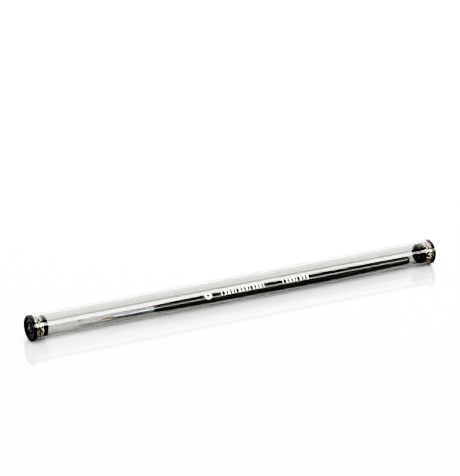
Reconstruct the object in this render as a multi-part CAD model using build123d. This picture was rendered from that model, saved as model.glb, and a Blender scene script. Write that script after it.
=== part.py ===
from build123d import *
import os

# Fine detail brush, packed as it is sold and stored: the brush, with a clear sleeve over its hairs,
# lies in a clear tube that a black push-in plug closes at each end.
# Millimetres. X runs along the tube with the hairs towards -X, +Z is up. The origin is under the
# middle of the tube, on the surface that the two plug flanges rest on.

# Storage tube
OVERALL_LENGTH = 241.4
TUBE_OD = 13.4
TUBE_WALL = 1.0

# Plugs, measured inwards from the outer face
FLANGE_OD = 13.5
FLANGE_THICKNESS = 1.6
FLANGE_ROUND = 0.3
PLUG_DEPTH = 8.4
SPIGOT_RADIUS = 5.45
SPIGOT_BORE_RADIUS = 4.5
SPIGOT_LEAD_IN = 0.35
RIB_CLEARANCE = 0.04
RIB_WIDTH = 0.5
RIB_DEPTHS = (3.1, 4.8, 6.5)
WEB_THICKNESS = 1.1
DISH_RADIUS = 5.1
DISH_DEPTH = 0.45
RING_RADIUS = 3.1
RING_WIDTH = 0.5
RING_HEIGHT = 0.22
GATE_RADIUS = 0.75
GATE_HEIGHT = 0.3

# Brush: its axis lies parallel to the tube's, this far below it, so its belly all but touches the bore
BRUSH_DROP = 2.64
FERRULE_TIP_X = -73.7
FERRULE_LENGTH = 23.8
FERRULE_WALL = 0.25
HANDLE_LENGTH = 157.2
HANDLE_FRONT_RADIUS = 1.74
HANDLE_END_RADIUS = 2.1
TENON_LENGTH = 10.5
TENON_NOSE = 0.3
HAIR_LENGTH = 7.4
HAIR_RADIUS = 0.5
HAIR_BELLY_RADIUS = 0.54
HAIR_POINT_RADIUS = 0.03
HAIR_ROOT_LENGTH = 8.0
MOUTH_RADIUS = 0.56
MOUTH_DEPTH = 0.35
EPOXY_START = 5.6
EPOXY_LENGTH = 4.2
THREAD_RADIUS = 0.08
THREAD_START = 4.3
THREAD_TURNS = 5
SEAT_GAP = 0.01

# Sleeve over the hairs, gripping the ferrule's taper at its open rear end
SLEEVE_OD = 3.6
SLEEVE_ID = 3.0
SLEEVE_ON_FERRULE = 19.1
SLEEVE_LENGTH = 37.6

TUBE_AXIS_Z = FLANGE_OD / 2
BRUSH_AXIS_Z = TUBE_AXIS_Z - BRUSH_DROP
TUBE_LENGTH = OVERALL_LENGTH - 2 * FLANGE_THICKNESS
BORE_RADIUS = TUBE_OD / 2 - TUBE_WALL
HANDLE_FRONT_X = FERRULE_TIP_X + FERRULE_LENGTH

# (distance behind the ferrule, radius) along the turned handle, from its shoulder to its rounded end
HANDLE_WAIST = [
    (0, HANDLE_FRONT_RADIUS),
    (10, 2.08),
    (28, 2.44),
    (55, 2.66),
    (82, 2.84),
    (106, 2.95),
    (128, 2.68),
    (145, 2.33),
    (HANDLE_LENGTH - HANDLE_END_RADIUS, HANDLE_END_RADIUS),
]

# The ferrule's outer line: a rolled lip, a long cone, two crimped grooves and a flared mouth
LIP = [(0, 0.84), (0.22, 0.99), (0.48, 0.91)]
FRONT_GROOVE = [(20.2, 1.50), (20.7, 1.33), (21.2, 1.52)]
REAR_GROOVE = [(21.7, 1.57), (22.15, 1.42), (22.6, 1.59)]
FLARE_END_RADIUS = 1.69


def turned(edges):
    """A solid of revolution about X from a closed run of edges drawn as (x, radius)."""
    return revolve(make_face(edges), Axis.X)


def outline(points):
    """The straight edges of a closed outline through the points."""
    return Polyline(*points, close=True).edges()


def cylinder_x(radius, length, start):
    """A cylinder along X that begins at start."""
    return turned(outline([(start, 0), (start + length, 0), (start + length, radius), (start, radius)]))


def clear_tube():
    """The extruded tube, with its cut edges just broken."""
    half = TUBE_LENGTH / 2
    break_edge = 0.12
    outside = TUBE_OD / 2
    return turned(
        outline(
            [
                (-half, BORE_RADIUS + break_edge),
                (-half + break_edge, BORE_RADIUS),
                (half - break_edge, BORE_RADIUS),
                (half, BORE_RADIUS + break_edge),
                (half, outside - break_edge),
                (half - break_edge, outside),
                (-half + break_edge, outside),
                (-half, outside - break_edge),
            ]
        )
    )


def plug_rib(depth):
    """One rounded sealing rib, as a ring that stands out from the spigot."""
    middle = depth + RIB_WIDTH / 2
    top = BORE_RADIUS - RIB_CLEARANCE
    root = SPIGOT_RADIUS - 0.1
    crest = ThreePointArc((depth, root), (middle, top), (depth + RIB_WIDTH, root))
    floor = Line((depth + RIB_WIDTH, root), (depth, root))
    return turned([crest.edge(), floor.edge()])


def plug():
    """A hollow push-in plug whose outer face lies at x = 0 and whose spigot points to +X."""
    rim = FLANGE_OD / 2
    inside = DISH_DEPTH + WEB_THICKNESS
    lead = SPIGOT_RADIUS - SPIGOT_LEAD_IN
    path = Polyline(
        (DISH_DEPTH, 0),
        (inside, 0),
        (inside, SPIGOT_BORE_RADIUS - 0.3),
        (inside + 0.3, SPIGOT_BORE_RADIUS),
        (PLUG_DEPTH, SPIGOT_BORE_RADIUS),
        (PLUG_DEPTH, lead),
        (PLUG_DEPTH - SPIGOT_LEAD_IN, SPIGOT_RADIUS),
        (FLANGE_THICKNESS, SPIGOT_RADIUS),
        (FLANGE_THICKNESS, rim - 0.15),
        (FLANGE_THICKNESS - 0.15, rim),
        (FLANGE_ROUND, rim),
    )
    shoulder = RadiusArc((FLANGE_ROUND, rim), (0, rim - FLANGE_ROUND), FLANGE_ROUND)
    face = Polyline(
        (0, rim - FLANGE_ROUND),
        (0, DISH_RADIUS + 0.25),
        (DISH_DEPTH, DISH_RADIUS),
        (DISH_DEPTH, 0),
    )
    body = turned([*path.edges(), shoulder.edge(), *face.edges()])
    for depth in RIB_DEPTHS:
        body += plug_rib(depth)
    return body + plug_ring() + plug_gate()


def plug_ring():
    """The raised moulded ring on the dished outer face."""
    half = RING_WIDTH / 2
    top = DISH_DEPTH - RING_HEIGHT
    return turned(
        outline(
            [
                (DISH_DEPTH + 0.1, RING_RADIUS - half),
                (DISH_DEPTH + 0.1, RING_RADIUS + half),
                (top, RING_RADIUS + half * 0.6),
                (top, RING_RADIUS - half * 0.6),
            ]
        )
    )


def plug_gate():
    """The moulding gate's round nub in the middle of the dish, with the sprue's pit in its end."""
    top = DISH_DEPTH - GATE_HEIGHT
    nub = turned(
        outline(
            [
                (DISH_DEPTH + 0.1, 0),
                (DISH_DEPTH + 0.1, GATE_RADIUS),
                (top, GATE_RADIUS * 0.8),
                (top, GATE_RADIUS * 0.4),
                (top + 0.15, 0),
            ]
        )
    )
    return nub


def groove(points, inset):
    """One crimped groove of the ferrule's line, moved inwards by inset."""
    return ThreePointArc(*[(x, radius - inset) for x, radius in points])


def ferrule_form(inset, start):
    """The ferrule's shape without its lip, moved inwards by inset and begun at start, as a solid."""
    base = LIP[2][1] - inset
    front, rear = groove(FRONT_GROOVE, inset), groove(REAR_GROOVE, inset)
    end = (FERRULE_LENGTH, FLARE_END_RADIUS - inset)
    slope = (FRONT_GROOVE[0][1] - LIP[2][1]) / (FRONT_GROOVE[0][0] - LIP[2][0])
    begin = (start, base + slope * (start - LIP[2][0]))
    edges = [
        Line((start, 0), begin),
        Line(begin, front @ 0),
        front,
        Line(front @ 1, rear @ 0),
        rear,
        Line(rear @ 1, end),
        Line(end, (end[0], 0)),
        Line((end[0], 0), (start, 0)),
    ]
    return turned([edge.edge() for edge in edges])


def ferrule():
    """The drawn metal ferrule: rolled lip, thin conical wall and two crimps over the handle's tenon."""
    lip_end = LIP[2][0]
    lip = turned(
        [
            ThreePointArc(*LIP).edge(),
            *Polyline(LIP[2], (lip_end, 0), (0, 0), LIP[0]).edges(),
        ]
    )
    shell = lip + ferrule_form(0, lip_end) - ferrule_form(FERRULE_WALL, MOUTH_DEPTH)
    return shell - cylinder_x(MOUTH_RADIUS, 2, -1)


def ferrule_filling(start, length):
    """The part of the space inside the ferrule from start, with a hair's breadth left to the wall."""
    inside = ferrule_form(FERRULE_WALL + SEAT_GAP, MOUTH_DEPTH + SEAT_GAP)
    return inside & cylinder_x(FLARE_END_RADIUS, length, start)


def handle():
    """The turned and lacquered wooden handle, with the tenon that the ferrule is crimped on to."""
    end_x = HANDLE_LENGTH - HANDLE_END_RADIUS
    corner = HANDLE_END_RADIUS * 0.5**0.5
    side = Spline(*HANDLE_WAIST)
    dome = ThreePointArc((end_x, HANDLE_END_RADIUS), (end_x + corner, corner), (HANDLE_LENGTH, 0))
    base = Polyline((HANDLE_LENGTH, 0), (0, 0), HANDLE_WAIST[0])
    grip = Pos(FERRULE_LENGTH, 0, 0) * turned([side.edge(), dome.edge(), *base.edges()])
    tenon = ferrule_filling(FERRULE_LENGTH - TENON_LENGTH, TENON_LENGTH)
    nose = tenon.faces().sort_by(Axis.X)[0]
    return grip + chamfer(nose.edges(), TENON_NOSE)


def hair_tuft():
    """The tied tuft as one closed form: a straight root in the ferrule, then a slim belly and point."""
    side = Spline(
        (0, HAIR_RADIUS),
        (-HAIR_LENGTH * 0.28, HAIR_BELLY_RADIUS),
        (-HAIR_LENGTH * 0.62, HAIR_BELLY_RADIUS * 0.62),
        (-HAIR_LENGTH, HAIR_POINT_RADIUS),
    )
    rest = Polyline(
        (-HAIR_LENGTH, HAIR_POINT_RADIUS),
        (-HAIR_LENGTH, 0),
        (HAIR_ROOT_LENGTH, 0),
        (HAIR_ROOT_LENGTH, HAIR_RADIUS),
        (0, HAIR_RADIUS),
    )
    return turned([side.edge(), *rest.edges()])


def binding_thread():
    """The thread that ties the hair root: turns laid side by side, each bedded into the next."""
    pitch = 1.9 * THREAD_RADIUS
    ring = HAIR_RADIUS + THREAD_RADIUS + SEAT_GAP
    turns = [
        Pos(THREAD_START + i * pitch, 0, 0) * Rot(0, 90, 0) * Torus(ring, THREAD_RADIUS)
        for i in range(THREAD_TURNS)
    ]
    wound = turns[0]
    for turn in turns[1:]:
        wound += turn
    return wound


def epoxy_plug():
    """The set adhesive that bonds the tied root into the ferrule."""
    root = cylinder_x(HAIR_RADIUS + SEAT_GAP, HAIR_ROOT_LENGTH + SEAT_GAP, 0)
    return ferrule_filling(EPOXY_START, EPOXY_LENGTH) - root


def tip_protector():
    """The clear sleeve that keeps the hairs straight, open at both ends."""
    rear = SLEEVE_ON_FERRULE
    front = rear - SLEEVE_LENGTH
    break_edge = 0.06
    inside, outside = SLEEVE_ID / 2, SLEEVE_OD / 2
    return turned(
        outline(
            [
                (front, inside),
                (rear, inside),
                (rear, outside - break_edge),
                (rear - break_edge, outside),
                (front + break_edge, outside),
                (front, outside - break_edge),
            ]
        )
    )


def on_tube(shape, x=0, turn=0):
    """Moves a shape made about the X axis on to the tube's axis."""
    return Pos(x, 0, TUBE_AXIS_Z) * Rot(0, 0, turn) * shape


def on_brush(shape):
    """Moves a shape measured from the ferrule's tip to its place along the brush."""
    return Pos(FERRULE_TIP_X, 0, BRUSH_AXIS_Z) * shape


nodes = {
    "clear_tube": on_tube(clear_tube()),
    "front_plug": on_tube(plug(), -OVERALL_LENGTH / 2),
    "rear_plug": on_tube(plug(), OVERALL_LENGTH / 2, 180),
    "handle": on_brush(handle()),
    "ferrule": on_brush(ferrule()),
    "hair_tuft": on_brush(hair_tuft()),
    "binding_thread": on_brush(binding_thread()),
    "epoxy_plug": on_brush(epoxy_plug()),
    "tip_protector": on_brush(tip_protector()),
}

os.makedirs("parts", exist_ok=True)
for name, shape in nodes.items():
    shape.label = name
    export_step(shape, f"parts/{name}.step")
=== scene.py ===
import math
import random

import bpy
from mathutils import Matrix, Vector


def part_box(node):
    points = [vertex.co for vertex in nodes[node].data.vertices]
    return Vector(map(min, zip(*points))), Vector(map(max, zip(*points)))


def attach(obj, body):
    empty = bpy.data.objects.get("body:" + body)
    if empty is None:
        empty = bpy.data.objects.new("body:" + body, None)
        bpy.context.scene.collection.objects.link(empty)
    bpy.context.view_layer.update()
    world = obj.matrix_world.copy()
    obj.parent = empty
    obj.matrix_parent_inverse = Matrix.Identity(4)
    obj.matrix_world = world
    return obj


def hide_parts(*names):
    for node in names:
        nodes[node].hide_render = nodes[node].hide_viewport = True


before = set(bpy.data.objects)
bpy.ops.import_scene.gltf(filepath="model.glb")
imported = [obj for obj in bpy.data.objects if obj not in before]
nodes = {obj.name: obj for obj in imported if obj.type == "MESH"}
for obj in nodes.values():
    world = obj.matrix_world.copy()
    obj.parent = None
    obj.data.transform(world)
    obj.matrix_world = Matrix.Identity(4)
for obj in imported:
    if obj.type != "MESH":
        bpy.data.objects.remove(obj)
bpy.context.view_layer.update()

# The looks of a fine detail brush in its clear storage tube. Metres, in the frame of the CAD model:
# X along the tube with the hairs towards -X, +Z up, z = 0 on the surface it lies on.

MM = 0.001

tube_low, tube_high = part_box("clear_tube")
ferrule_low, ferrule_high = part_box("ferrule")
hair_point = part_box("hair_tuft")[0].x
ferrule_mouth = ferrule_low.x
tube_end = tube_high.x
tube_axis_z = (tube_high.z + tube_low.z) / 2
brush_axis_z = (ferrule_high.z + ferrule_low.z) / 2


# ---------------------------------------------------------------- camera

CAMERA_AZIMUTH = 28.68
CAMERA_ELEVATION = 19.53
CAMERA_DISTANCE = 1.4758
CAMERA_AIM = Vector((-0.00398, 0, 0.0357))
CAMERA_LENS = 220.15
SENSOR_WIDTH = 36


def make_camera():
    azimuth, elevation = math.radians(CAMERA_AZIMUTH), math.radians(CAMERA_ELEVATION)
    forward = Vector(
        (
            math.sin(azimuth) * math.cos(elevation),
            math.cos(azimuth) * math.cos(elevation),
            -math.sin(elevation),
        )
    )
    data = bpy.data.cameras.new("camera")
    data.lens = CAMERA_LENS
    data.sensor_fit = "HORIZONTAL"
    data.sensor_width = SENSOR_WIDTH
    data.clip_start = 0.01
    data.clip_end = 50
    camera = bpy.data.objects.new("camera", data)
    camera.location = CAMERA_AIM - forward * CAMERA_DISTANCE
    camera.rotation_euler = forward.to_track_quat("-Z", "Y").to_euler()
    bpy.context.scene.collection.objects.link(camera)
    bpy.context.scene.camera = camera


# ---------------------------------------------------------------- material helpers


class Nodes:
    """A material's node tree, with short calls for the nodes that the materials here share."""

    def __init__(self, name):
        self.material = bpy.data.materials.new(name)
        self.material.use_nodes = True
        self.tree = self.material.node_tree
        self.tree.nodes.clear()
        self.output = self.tree.nodes.new("ShaderNodeOutputMaterial")
        self.shader = self.add("ShaderNodeBsdfPrincipled")
        self.link(self.shader, "BSDF", self.output, "Surface")
        self.place = self.add("ShaderNodeTexCoord")

    def add(self, kind, **values):
        node = self.tree.nodes.new(kind)
        for key, value in values.items():
            setattr(node, key, value)
        return node

    def link(self, source, output, target, socket):
        self.tree.links.new(source.outputs[output], target.inputs[socket])

    def set(self, **values):
        for key, value in values.items():
            self.shader.inputs[key.replace("_", " ")].default_value = value

    def noise(self, scale, stretch=(1, 1, 1), detail=4, roughness=0.55):
        """Noise over the model's own coordinates; stretch multiplies how fast it changes along each."""
        mapping = self.add("ShaderNodeMapping")
        mapping.inputs["Scale"].default_value = stretch
        self.link(self.place, "Object", mapping, "Vector")
        noise = self.add("ShaderNodeTexNoise")
        noise.inputs["Scale"].default_value = scale
        noise.inputs["Detail"].default_value = detail
        noise.inputs["Roughness"].default_value = roughness
        self.link(mapping, "Vector", noise, "Vector")
        return noise

    def spread(self, source, output, low, high, to_low, to_high):
        """Maps low..high of a value to to_low..to_high."""
        span = self.add("ShaderNodeMapRange")
        span.inputs["From Min"].default_value = low
        span.inputs["From Max"].default_value = high
        span.inputs["To Min"].default_value = to_low
        span.inputs["To Max"].default_value = to_high
        self.link(source, output, span, "Value")
        return span

    def near_end(self, first, last, soft=0.2 * MM):
        """1 where the distance from the tube's middle along X lies between first and last, else 0."""
        split = self.add("ShaderNodeSeparateXYZ")
        self.link(self.place, "Object", split, "Vector")
        distance = self.add("ShaderNodeMath", operation="ABSOLUTE")
        self.link(split, "X", distance, 0)
        inside = self.spread(distance, "Value", first - soft, first + soft, 0.0, 1.0)
        outside = self.spread(distance, "Value", last - soft, last + soft, 1.0, 0.0)
        both = self.add("ShaderNodeMath", operation="MULTIPLY")
        self.link(inside, "Result", both, 0)
        self.link(outside, "Result", both, 1)
        return both

    def blend(self, share, base, over):
        """Mixes two colours, each a (node, output) pair or an RGB tuple, by a 0..1 share."""
        mix = self.add("ShaderNodeMix", data_type="RGBA")
        self.tree.links.new(share, mix.inputs[0])
        for source, socket in ((base, mix.inputs[6]), (over, mix.inputs[7])):
            if isinstance(source[0], float):
                socket.default_value = (*source, 1)
            else:
                self.tree.links.new(source[0].outputs[source[1]], socket)
        return mix.outputs[2]

    def ramp(self, source, output, stops):
        ramp = self.add("ShaderNodeValToRGB")
        elements = ramp.color_ramp.elements
        while len(elements) < len(stops):
            elements.new(0.5)
        for element, (position, colour) in zip(elements, stops):
            element.position = position
            element.color = (*colour, 1)
        self.link(source, output, ramp, "Fac")
        return ramp

    def bump(self, source, output, height, strength=1.0):
        """Bump from a 0..1 value, with height in metres."""
        bump = self.add("ShaderNodeBump")
        bump.inputs["Strength"].default_value = strength
        bump.inputs["Distance"].default_value = height
        self.link(source, output, bump, "Height")
        if self.shader.inputs["Normal"].is_linked:
            earlier = self.shader.inputs["Normal"].links[0].from_node
            self.link(earlier, "Normal", bump, "Normal")
        self.link(bump, "Normal", self.shader, "Normal")
        return bump

    def light_through(self):
        """Lets lamps shine through the clear wall, as they do through real thin plastic."""
        path = self.add("ShaderNodeLightPath")
        clear = self.add("ShaderNodeBsdfTransparent")
        clear.inputs["Color"].default_value = (*WALL_LETS_THROUGH, 1)
        mix = self.add("ShaderNodeMixShader")
        self.link(path, "Is Shadow Ray", mix, "Fac")
        self.tree.links.new(self.shader.outputs["BSDF"], mix.inputs[1])
        self.tree.links.new(clear.outputs["BSDF"], mix.inputs[2])
        self.tree.links.new(mix.outputs["Shader"], self.output.inputs["Surface"])


def give(node_name, material):
    """Gives a CAD node's object this material in every slot."""
    piece = nodes[node_name]
    if not piece.material_slots:
        piece.data.materials.append(material)
    for slot in piece.material_slots:
        slot.material = material


# ---------------------------------------------------------------- materials

WALL_LETS_THROUGH = (0.87, 0.87, 0.87)
# The tube's grey: faint in the real plastic, deepened as painted shade over what shows through it.
TUBE_GREY_AND_PAINTED_SHADE = (0.665, 0.665, 0.65)
SAWN_END_TINT = (0.93, 0.92, 0.89)
SAWN_END_DEPTH = 0.6 * MM
SAWN_END_ROUGHNESS = 0.55
# Pale patches on the plugs next to the flange: part rub marks, part painted glints.
RUBS_AND_PAINTED_GLINTS = (0.60, 0.57, 0.52)
RUB_AND_GLINT_REACH = 4.3 * MM
# A pale dot at the moulding gate in the middle of the plug's face: a painted highlight.
GATE_PAINTED_HIGHLIGHT = (0.6, 0.6, 0.59)
GATE_HIGHLIGHT_RADII = (0.5 * MM, 0.7 * MM)


def clear_tube_material():
    """Extruded clear plastic: faint die lines along the tube, a grey colour that is part real and part
    painted shade, and frosty sawn ends.
    """
    m = Nodes("clear_tube_plastic")
    m.set(IOR=1.5, Specular_IOR_Level=0.3, Transmission_Weight=1.0)
    cut = m.near_end(tube_end - SAWN_END_DEPTH, tube_end + 1 * MM)
    # The tube's grey, part painted shade, turns to the frosty colour at the sawn ends.
    grey_and_painted_shade = m.blend(cut.outputs[0], TUBE_GREY_AND_PAINTED_SHADE, SAWN_END_TINT)
    m.tree.links.new(grey_and_painted_shade, m.shader.inputs["Base Color"])
    lines = m.noise(900, stretch=(0.02, 1, 1), detail=3)
    m.bump(lines, "Fac", 0.0012 * MM)
    haze = m.noise(160, stretch=(0.3, 1, 1), detail=6)
    rough = m.spread(haze, "Fac", 0.35, 0.75, 0.004, 0.03)
    sawn = m.add("ShaderNodeMath", operation="MULTIPLY_ADD")
    sawn.inputs[1].default_value = SAWN_END_ROUGHNESS
    m.link(cut, "Value", sawn, 0)
    m.link(rough, "Result", sawn, 2)
    m.link(sawn, "Value", m.shader, "Roughness")
    m.light_through()
    return m.material


def sleeve_material():
    """The soft sleeve: clearer but duller than the tube, slightly milky."""
    m = Nodes("clear_sleeve_plastic")
    m.set(Base_Color=(0.90, 0.905, 0.905, 1), IOR=1.5, Transmission_Weight=1.0)
    haze = m.noise(700, stretch=(0.25, 1, 1), detail=5)
    rough = m.spread(haze, "Fac", 0.3, 0.8, 0.03, 0.12)
    m.link(rough, "Result", m.shader, "Roughness")
    m.bump(haze, "Fac", 0.004 * MM)
    m.light_through()
    return m.material


def plug_material():
    """Moulded black plastic: fine texture, uneven gloss, pale patches by the flange that are part rub
    marks and part painted glints, and a pale dot at the gate that is a painted highlight.
    """
    m = Nodes("plug_plastic")
    m.set(IOR=1.5, Specular_IOR_Level=1.0)
    grain = m.noise(4200, detail=2)
    m.bump(grain, "Fac", 0.006 * MM)
    flow = m.noise(420, detail=4)
    m.bump(flow, "Fac", 0.02 * MM)
    scuffs = m.noise(1500, stretch=(1, 0.25, 1), detail=8, roughness=0.7)
    colour = m.ramp(
        scuffs,
        "Fac",
        [
            (0.0, (0.004, 0.004, 0.0045)),
            (0.62, (0.006, 0.006, 0.0065)),
            (0.8, (0.03, 0.03, 0.032)),
        ],
    )
    # Pale patches next to the flange, part rub marks and part painted glints.
    patches = m.noise(950, stretch=(1.3, 1, 1), detail=2, roughness=0.6)
    rub_and_glint_patches = m.spread(patches, "Fac", 0.47, 0.53, 0.0, 1.0)
    rub_and_glint_share = m.add("ShaderNodeMath", operation="MULTIPLY")
    m.link(rub_and_glint_patches, "Result", rub_and_glint_share, 0)
    m.link(m.near_end(tube_end - RUB_AND_GLINT_REACH, tube_end + 0.1 * MM), "Value", rub_and_glint_share, 1)
    with_rubs_and_glints = m.blend(rub_and_glint_share.outputs[0], (colour, "Color"), RUBS_AND_PAINTED_GLINTS)
    # A painted highlight: a pale dot round the axis at the gate.
    reach = m.add("ShaderNodeVectorMath", operation="DISTANCE")
    reach.inputs[1].default_value = (0, 0, tube_axis_z)
    flat = m.add("ShaderNodeVectorMath", operation="MULTIPLY")
    flat.inputs[1].default_value = (0, 1, 1)
    m.link(m.place, "Object", flat, 0)
    m.link(flat, "Vector", reach, 0)
    gate = m.spread(reach, "Value", *GATE_HIGHLIGHT_RADII, 1.0, 0.0)
    trimmed = m.blend(gate.outputs[0], (with_rubs_and_glints.node, 2), GATE_PAINTED_HIGHLIGHT)
    m.tree.links.new(trimmed, m.shader.inputs["Base Color"])
    rough = m.spread(scuffs, "Fac", 0.35, 0.75, 0.1, 0.34)
    m.link(rough, "Result", m.shader, "Roughness")
    return m.material


def lacquer_material():
    """Black gloss lacquer over turned wood: a faint long grain telegraphs through the coat."""
    m = Nodes("handle_lacquer")
    m.set(IOR=1.5, Specular_IOR_Level=0.8, Coat_Weight=1.0, Coat_Roughness=0.2, Coat_IOR=1.9)
    grain = m.noise(900, stretch=(0.03, 1, 1), detail=5)
    m.bump(grain, "Fac", 0.006 * MM)
    orange_peel = m.noise(1400, stretch=(0.6, 1, 1), detail=1)
    m.bump(orange_peel, "Fac", 0.003 * MM)
    colour = m.ramp(grain, "Fac", [(0.3, (0.002, 0.0018, 0.0018)), (0.75, (0.009, 0.007, 0.006))])
    m.link(colour, "Color", m.shader, "Base Color")
    rough = m.spread(m.noise(2600, stretch=(0.2, 1, 1), detail=6), "Fac", 0.3, 0.8, 0.1, 0.3)
    m.link(rough, "Result", m.shader, "Roughness")
    return m.material


def nickel_material():
    """Polished nickel plate in a cool grey, with hairline drawing marks along the cone."""
    m = Nodes("ferrule_nickel")
    m.set(Metallic=1.0)
    marks = m.noise(5200, stretch=(0.02, 1, 1), detail=4)
    m.bump(marks, "Fac", 0.002 * MM)
    stain = m.noise(500, stretch=(0.4, 1, 1), detail=5)
    colour = m.ramp(stain, "Fac", [(0.3, (0.42, 0.45, 0.49)), (0.7, (0.55, 0.57, 0.60))])
    m.link(colour, "Color", m.shader, "Base Color")
    rough = m.spread(stain, "Fac", 0.3, 0.75, 0.06, 0.16)
    m.link(rough, "Result", m.shader, "Roughness")
    return m.material


def hair_material():
    """Natural hair: golden at the root, red-brown along the belly and grey-black at the point."""
    m = Nodes("hair")
    m.set(Roughness=0.38, IOR=1.55)
    split = m.add("ShaderNodeSeparateXYZ")
    m.link(m.place, "Object", split, "Vector")
    along = m.spread(split, "X", ferrule_mouth, hair_point, 0.0, 1.0)
    island = m.add("ShaderNodeNewGeometry")
    shift = m.spread(island, "Random Per Island", 0, 1, -0.07, 0.07)
    total = m.add("ShaderNodeMath", operation="ADD")
    m.link(along, "Result", total, 0)
    m.link(shift, "Result", total, 1)
    colour = m.ramp(
        total,
        "Value",
        [
            (0.0, (0.54, 0.41, 0.28)),
            (0.28, (0.40, 0.27, 0.18)),
            (0.60, (0.19, 0.11, 0.075)),
            (0.76, (0.05, 0.04, 0.038)),
            (1.0, (0.02, 0.02, 0.022)),
        ],
    )
    m.link(colour, "Color", m.shader, "Base Color")
    return m.material


def thread_material():
    """Waxed thread with the slanted twist of its strands."""
    m = Nodes("thread")
    m.set(Roughness=0.7)
    twist = m.add("ShaderNodeTexWave", wave_type="BANDS", bands_direction="DIAGONAL")
    twist.inputs["Scale"].default_value = 9000
    m.link(m.place, "Object", twist, "Vector")
    colour = m.ramp(twist, "Fac", [(0.0, (0.50, 0.46, 0.38)), (1.0, (0.80, 0.76, 0.66))])
    m.link(colour, "Color", m.shader, "Base Color")
    m.bump(twist, "Fac", 0.01 * MM)
    return m.material


def epoxy_material():
    """Set amber adhesive, a little cloudy."""
    m = Nodes("epoxy")
    m.set(Roughness=0.18, IOR=1.56)
    cloud = m.noise(2400, detail=5)
    colour = m.ramp(cloud, "Fac", [(0.3, (0.40, 0.25, 0.09)), (0.75, (0.62, 0.45, 0.20))])
    m.link(colour, "Color", m.shader, "Base Color")
    return m.material


def print_material():
    """White pad-printed ink, thin enough to show slightly uneven cover."""
    m = Nodes("print_ink")
    m.set(Roughness=0.45)
    cover = m.noise(6000, detail=4)
    colour = m.ramp(cover, "Fac", [(0.25, (0.8, 0.8, 0.79)), (0.6, (0.95, 0.95, 0.94))])
    m.link(colour, "Color", m.shader, "Base Color")
    return m.material


def floor_material():
    """Glossy white acrylic sheet, lit from under as on a light table, with a painted contact shadow in
    its glow next to the object.
    """
    m = Nodes("floor_white")
    m.set(Base_Color=(0.4, 0.4, 0.4, 1), Roughness=0.03, IOR=1.6, Emission_Strength=FLOOR_GLOW)
    # Ambient occlusion dims the glow next to the object: a painted contact shadow.
    contact = m.add("ShaderNodeAmbientOcclusion", samples=8)
    contact.inputs["Distance"].default_value = CONTACT_SHADE_REACH
    lit = m.spread(contact, "AO", 0.0, 1.0, CONTACT_SHADE, 1.0)
    m.link(lit, "Result", m.shader, "Emission Color")
    return m.material


# ---------------------------------------------------------------- hair

HAIR_COUNT = 420
HAIR_SIDES = 5
HAIR_RINGS = 14
HAIR_ROOT = 0.5 * MM
TUFT_BASE_RADIUS = 0.5 * MM
GOLDEN_ANGLE = 2.399963


def tuft_radius(t):
    """The tuft's radius at t from 0, the ferrule's mouth, to 1, the point, as a share of its base."""
    belly = 1 + 0.16 * math.sin(math.pi * min(t / 0.45, 1))
    taper = 1 - max(t - 0.12, 0) / 0.88
    return belly * taper**0.85


def make_hair():
    """A tuft of separate tapered hairs, each following the tuft's closing curve with a little stray."""
    rng = random.Random(7)
    length = ferrule_mouth - hair_point
    root = HAIR_ROOT / length
    vertices, faces = [], []
    for index in range(HAIR_COUNT):
        share = math.sqrt((index + 0.5) / HAIR_COUNT)
        angle = index * GOLDEN_ANGLE + rng.uniform(-0.2, 0.2)
        end = 1.0 - 0.16 * rng.random() ** 1.6 * share - 0.01 * rng.random()
        thick = rng.uniform(0.016, 0.023) * MM
        stray = rng.uniform(-0.018, 0.018) * MM
        start = len(vertices)
        for ring in range(HAIR_RINGS):
            t = -root + (end + root) * ring / (HAIR_RINGS - 1)
            spread = TUFT_BASE_RADIUS * share * tuft_radius(max(t, 0)) * 0.97
            wave = stray * math.sin(5 * max(t, 0) + index)
            centre = Vector(
                (
                    ferrule_mouth - t * length,
                    (spread + wave) * math.cos(angle),
                    brush_axis_z + (spread + wave) * math.sin(angle),
                )
            )
            width = thick * (1 - 0.85 * max(t / end, 0) ** 2.2)
            for side in range(HAIR_SIDES):
                turn = 2 * math.pi * side / HAIR_SIDES
                vertices.append(centre + Vector((0, width * math.cos(turn), width * math.sin(turn))))
        for ring in range(HAIR_RINGS - 1):
            for side in range(HAIR_SIDES):
                a = start + ring * HAIR_SIDES + side
                b = start + ring * HAIR_SIDES + (side + 1) % HAIR_SIDES
                faces.append((a, b, b + HAIR_SIDES, a + HAIR_SIDES))
        faces.append([start + side for side in reversed(range(HAIR_SIDES))])
        faces.append([start + (HAIR_RINGS - 1) * HAIR_SIDES + side for side in range(HAIR_SIDES)])
    piece = mesh_piece("hair_strands", vertices, faces, hair_material())
    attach(piece, "brush")
    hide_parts("hair_tuft")


def mesh_piece(name, vertices, faces, material):
    mesh = bpy.data.meshes.new(name)
    mesh.from_pydata([tuple(v) for v in vertices], [], faces)
    mesh.validate()
    mesh.materials.append(material)
    piece = bpy.data.objects.new(name, mesh)
    bpy.context.scene.collection.objects.link(piece)
    mesh.shade_smooth()
    return piece


# ---------------------------------------------------------------- print on the handle

INK_BASE = 0.002 * MM
INK_TOP = 0.02 * MM
PRINT_ANGLE = math.radians(62)
# The handle's radius under the print, near enough to turn an arc length into an angle
PRINT_RADIUS = 2.45 * MM
# Where the ring's middle is, and each row of bars with its number of bars, in mm behind the ferrule
RING_BEHIND = 32.0
BAR_ROWS = ((39.5, 13), (76.5, 8))
BAR_PITCH = 2.1
RING_OUTER = 2.2 * MM
RING_INNER = 0.75 * MM
BAR_WIDTH = 1.3 * MM
NARROW_BAR_WIDTH = 0.7 * MM
BAR_HALF_HEIGHT = 1.3 * MM
BAR_SLANT = 0.45 * MM


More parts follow.
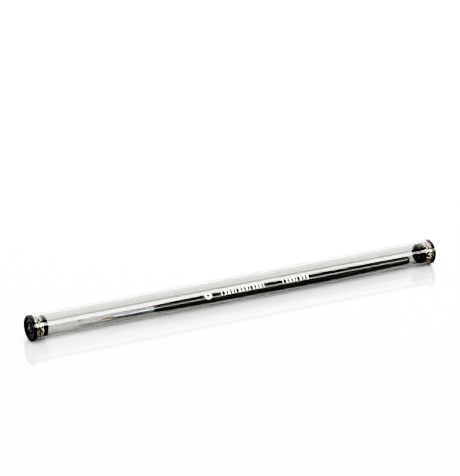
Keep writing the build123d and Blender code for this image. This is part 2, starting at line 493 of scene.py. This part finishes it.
def on_handle(x, around, lift):
    """The point on the handle at x, around it from the front-top line by an arc length, lifted off it."""
    axis = Vector((x, 0, brush_axis_z))
    angle = PRINT_ANGLE + around / PRINT_RADIUS
    outwards = Vector((0, -math.cos(angle), math.sin(angle)))
    hit, place, _, _ = nodes["handle"].ray_cast(axis + outwards * (10 * MM), -outwards)
    if not hit:
        raise RuntimeError("the print runs off the handle")
    return place + outwards * lift


def ink_patch(vertices, faces, outline, steps=8):
    """Adds one thin closed patch of ink; outline(u, v) gives x and arc for u and v from 0 to 1."""
    start = len(vertices)
    across = steps + 1
    for lift in (INK_BASE, INK_TOP):
        for i in range(across):
            for j in range(across):
                x, around = outline(i / steps, j / steps)
                vertices.append(on_handle(x, around, lift))
    layer = across * across

    def at(i, j, top):
        return start + top * layer + i * across + j

    for i in range(steps):
        for j in range(steps):
            faces.append((at(i, j, 1), at(i, j + 1, 1), at(i + 1, j + 1, 1), at(i + 1, j, 1)))
            faces.append((at(i, j, 0), at(i + 1, j, 0), at(i + 1, j + 1, 0), at(i, j + 1, 0)))
    rim = [(i, 0) for i in range(steps)] + [(steps, j) for j in range(steps)]
    rim += [(i, steps) for i in range(steps, 0, -1)] + [(0, j) for j in range(steps, 0, -1)]
    for k, (i, j) in enumerate(rim):
        p, q = rim[(k + 1) % len(rim)]
        faces.append((at(i, j, 0), at(i, j, 1), at(p, q, 1), at(p, q, 0)))


def bar(x, width):
    """The outline of one slanted bar."""
    return lambda u, v: (x + width * u + BAR_SLANT * v, BAR_HALF_HEIGHT * (2 * v - 1))


def ring_quarter(x, first):
    """The outline of the quarter of the ring round x that begins at the angle first."""

    def place(u, v):
        angle = first + math.pi / 2 * u
        radius = RING_INNER + (RING_OUTER - RING_INNER) * v
        return x + radius * math.cos(angle), radius * math.sin(angle)

    return place


def make_print():
    """Generic marks where a maker's print would be: a plain ring, then two rows of slanted bars."""
    vertices, faces = [], []
    for quarter in range(4):
        ink_patch(vertices, faces, ring_quarter(handle_mark_x(RING_BEHIND), quarter * math.pi / 2))
    for start, count in BAR_ROWS:
        for index in range(count):
            width = BAR_WIDTH if index % 4 else NARROW_BAR_WIDTH
            ink_patch(vertices, faces, bar(handle_mark_x(start + BAR_PITCH * index), width))
    piece = mesh_piece("print_marks", vertices, faces, print_material())
    for polygon in piece.data.polygons:
        polygon.use_smooth = False
    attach(piece, "brush")


def handle_mark_x(behind_ferrule):
    """X of a mark this many millimetres behind the ferrule."""
    return ferrule_high.x + behind_ferrule * MM


# ---------------------------------------------------------------- studio

FLOOR_SIZE = 8
FLOOR_GLOW = 0.24
# The floor's own light right under the object, as a share of FLOOR_GLOW, and how far that reaches
CONTACT_SHADE = 0.42
CONTACT_SHADE_REACH = 1.7 * MM
# Each softbox's edges in degrees, distance and length in metres, radiance, and what it lights
SOFTBOXES = (
    ("key_softbox", 18, 48, 1.0, 2.0, 7.0, "all but the floor"),
    ("overhead_softbox", 66, 140, 1.0, 2.2, 2.1, "everything"),
    ("backdrop_glow", 146, 170, 2.5, 14.0, 1.8, "all but the floor"),
    ("backdrop_on_floor", 140, 175, 2.5, 14.0, 1.8, "the floor"),
    ("front_on_floor", 4, 64, 2.5, 14.0, 2.5, "the floor"),
)
FLOOR_LINK = {"all but the floor": "EXCLUDE", "the floor": "INCLUDE"}
# How far along X a box's middle is moved, for each metre of its distance
AXIAL_RUN = 0.52
LIT_SIDE = (0, 0.6, 0.8)
ROOM_LIGHT = (0.5, 0.5, 0.5)
ROOM_DARK = (0.07, 0.08, 0.095)
# How the picture's tones are printed, as (scene value, shown value): deep blacks, soft whites
TONE_CURVE = (
    (0.0, 0.0),
    (0.1, 0.001),
    (0.2, 0.012),
    (0.3, 0.11),
    (0.45, 0.33),
    (0.6, 0.52),
    (0.8, 0.72),
    (1.0, 0.86),
    (1.2, 0.96),
    (1.4, 1.0),
)


def make_floor():
    half = FLOOR_SIZE / 2
    corners = [(-half, -half, 0), (half, -half, 0), (half, half, 0), (-half, half, 0)]
    floor = mesh_piece("floor", corners, [(0, 1, 2, 3)], floor_material())
    return floor


def strip_light(name, low, high, distance, length, radiance):
    """A long softbox parallel to the tube, seen by the camera as a reflection in it.

    low and high are the box's edges as angles up from the camera's side of the floor, round the
    tube's axis. Rays from the camera keep their run along the tube when they reflect, so the box's
    middle is moved along X by as much.
    """
    middle = math.radians((low + high) / 2)
    width = 2 * distance * math.tan(math.radians(high - low) / 2)
    data = bpy.data.lights.new(name, "AREA")
    data.shape = "RECTANGLE"
    data.size, data.size_y = length, width
    data.energy = radiance * math.pi * length * width
    lamp = bpy.data.objects.new(name, data)
    lamp.location = (
        distance * AXIAL_RUN,
        -distance * math.cos(middle),
        tube_axis_z + distance * math.sin(middle),
    )
    lamp.rotation_euler = (math.pi / 2 - middle, 0, 0)
    bpy.context.scene.collection.objects.link(lamp)
    return lamp


def link_floor(lamp, floor, state):
    """Makes a softbox light everything but the floor, or the floor alone.

    The glossy floor mirrors its own wider boxes, because the edges of the narrow ones would show in it.
    """
    linked = bpy.data.collections.new("linked_to_" + lamp.name)
    linked.objects.link(floor)
    lamp.light_linking.receiver_collection = linked
    linked.collection_objects[0].light_linking.link_state = state


def make_world():
    """A room that is light above and behind the tube and dark behind the camera."""
    world = bpy.data.worlds.new("studio")
    world.use_nodes = True
    tree = world.node_tree
    place = tree.nodes.new("ShaderNodeTexCoord")
    lit_side = tree.nodes.new("ShaderNodeVectorMath")
    lit_side.operation = "DOT_PRODUCT"
    lit_side.inputs[1].default_value = LIT_SIDE
    tree.links.new(place.outputs["Generated"], lit_side.inputs[0])
    room = tree.nodes.new("ShaderNodeValToRGB")
    room.color_ramp.elements[0].color = (*ROOM_DARK, 1)
    room.color_ramp.elements[1].color = (*ROOM_LIGHT, 1)
    room.color_ramp.elements[1].position = 0.4
    tree.links.new(lit_side.outputs["Value"], room.inputs["Fac"])
    tree.links.new(room.outputs["Color"], tree.nodes["Background"].inputs["Color"])
    bpy.context.scene.world = world


def set_contrast():
    """Plain sRGB output with the deep blacks of a studio product picture."""
    view = bpy.context.scene.view_settings
    view.view_transform = "Standard"
    view.look = "None"
    view.use_curve_mapping = True
    curves = view.curve_mapping
    white = TONE_CURVE[-1][0]
    curves.white_level = (white, white, white)
    for scene_value, shown in TONE_CURVE[1:-1]:
        curves.curves[3].points.new(scene_value / white, shown)
    curves.update()


def make_studio():
    floor = make_floor()
    for *box, lights in SOFTBOXES:
        lamp = strip_light(*box)
        if lights in FLOOR_LINK:
            link_floor(lamp, floor, FLOOR_LINK[lights])
    make_world()
    set_contrast()


make_camera()
give("clear_tube", clear_tube_material())
give("tip_protector", sleeve_material())
plug_plastic = plug_material()
give("front_plug", plug_plastic)
give("rear_plug", plug_plastic)
give("handle", lacquer_material())
give("ferrule", nickel_material())
give("binding_thread", thread_material())
give("epoxy_plug", epoxy_material())
make_hair()
make_print()
make_studio()
